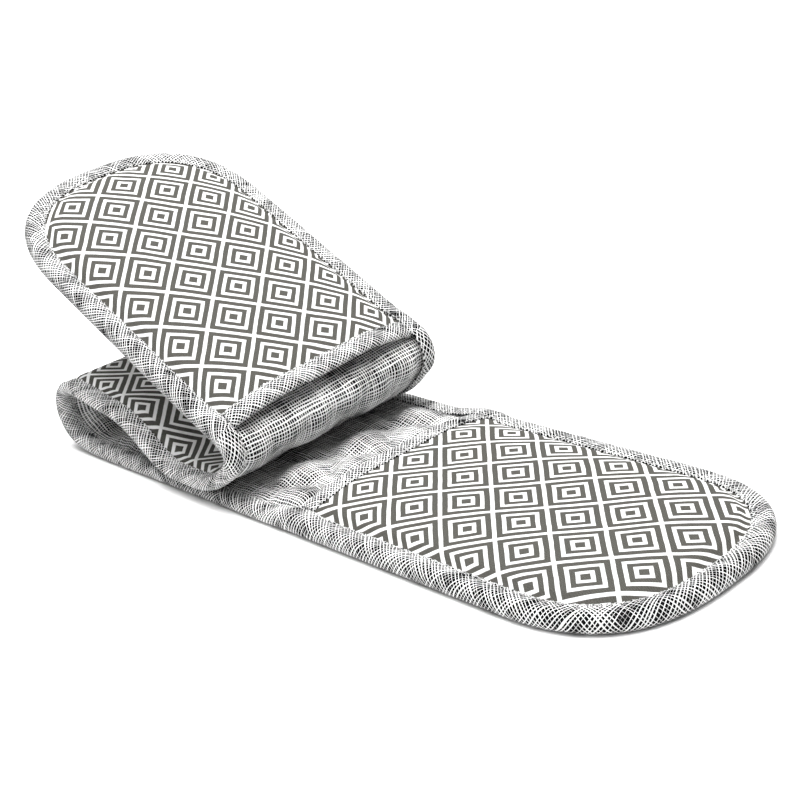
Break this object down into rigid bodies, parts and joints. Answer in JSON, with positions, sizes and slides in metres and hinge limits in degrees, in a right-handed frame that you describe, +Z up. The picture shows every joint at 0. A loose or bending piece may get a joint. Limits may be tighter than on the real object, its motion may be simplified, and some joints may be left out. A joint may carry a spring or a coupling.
{
  "type": "double oven glove",
  "caption": "Padded fabric strip with a hand pocket at each end, bound all round, folded in a Z with the top glove raised.",
  "frame": {"origin": "bottom centre of the folded glove's bounding box, on the table", "axes": "+X from the raised glove's tip along the strip to the lower glove's tip, +Y across the strip away from the viewer, +Z up from the table"},
  "size_m": [0.5222, 0.181, 0.177],
  "materials": {
    "outer_cover": "cotton twill printed with grey and white diamonds, matt",
    "heat_wadding": "off-white needled felt, matt",
    "quilted_lining": "black and white crosshatched linen look cotton, matt",
    "edge_binding": "black and white crosshatched cotton tape cut on the bias, matt",
    "pocket_lining": "black and white crosshatched linen look cotton, matt",
    "pocket_wadding": "off-white needled felt, matt",
    "pocket_panel": "cotton twill printed with grey and white diamonds, matt",
    "mouth_binding": "black and white crosshatched cotton tape cut on the bias, matt"
  },
  "bodies": {
    "lower_glove": {"outer_cover_lower": "outer_cover", "heat_wadding_lower": "heat_wadding", "quilted_lining_lower": "quilted_lining", "edge_binding_lower": "edge_binding", "pocket_lower_lining": "pocket_lining", "pocket_lower_wadding": "pocket_wadding", "pocket_lower_panel": "pocket_panel", "mouth_binding_lower": "mouth_binding", "outer_cover_left_fold": "outer_cover", "heat_wadding_left_fold": "heat_wadding", "quilted_lining_left_fold": "quilted_lining", "edge_binding_left_fold_far": "edge_binding", "edge_binding_left_fold_near": "edge_binding"},
    "middle_run": {"outer_cover_middle": "outer_cover", "heat_wadding_middle": "heat_wadding", "quilted_lining_middle": "quilted_lining", "edge_binding_middle_far": "edge_binding", "edge_binding_middle_near": "edge_binding", "outer_cover_right_fold": "outer_cover", "heat_wadding_right_fold": "heat_wadding", "quilted_lining_right_fold": "quilted_lining", "edge_binding_right_fold_far": "edge_binding", "edge_binding_right_fold_near": "edge_binding"},
    "upper_glove": {"outer_cover_upper": "outer_cover", "heat_wadding_upper": "heat_wadding", "quilted_lining_upper": "quilted_lining", "edge_binding_upper": "edge_binding", "pocket_upper_lining": "pocket_lining", "pocket_upper_wadding": "pocket_wadding", "pocket_upper_panel": "pocket_panel", "mouth_binding_upper": "mouth_binding"}
  },
  "joints": [
    {"name": "left_fold", "type": "hinge", "parent": "lower_glove", "child": "middle_run", "pos_m": [-0.20106, 0, 0.02708], "axis": [0, -1, 0], "range_deg": [0, 190], "deforming": ["outer_cover_left_fold", "heat_wadding_left_fold", "quilted_lining_left_fold", "edge_binding_left_fold_far", "edge_binding_left_fold_near"]},
    {"name": "right_fold", "type": "hinge", "parent": "middle_run", "child": "upper_glove", "pos_m": [-0.05582, 0, 0.02946], "axis": [0, -0.9998, -0.021], "range_deg": [-158, 0], "deforming": ["outer_cover_right_fold", "heat_wadding_right_fold", "quilted_lining_right_fold", "edge_binding_right_fold_far", "edge_binding_right_fold_near"]}
  ],
  "couplings": [
    {"joint": "right_fold", "follows": "left_fold", "ratio": -0.83158}
  ]
}
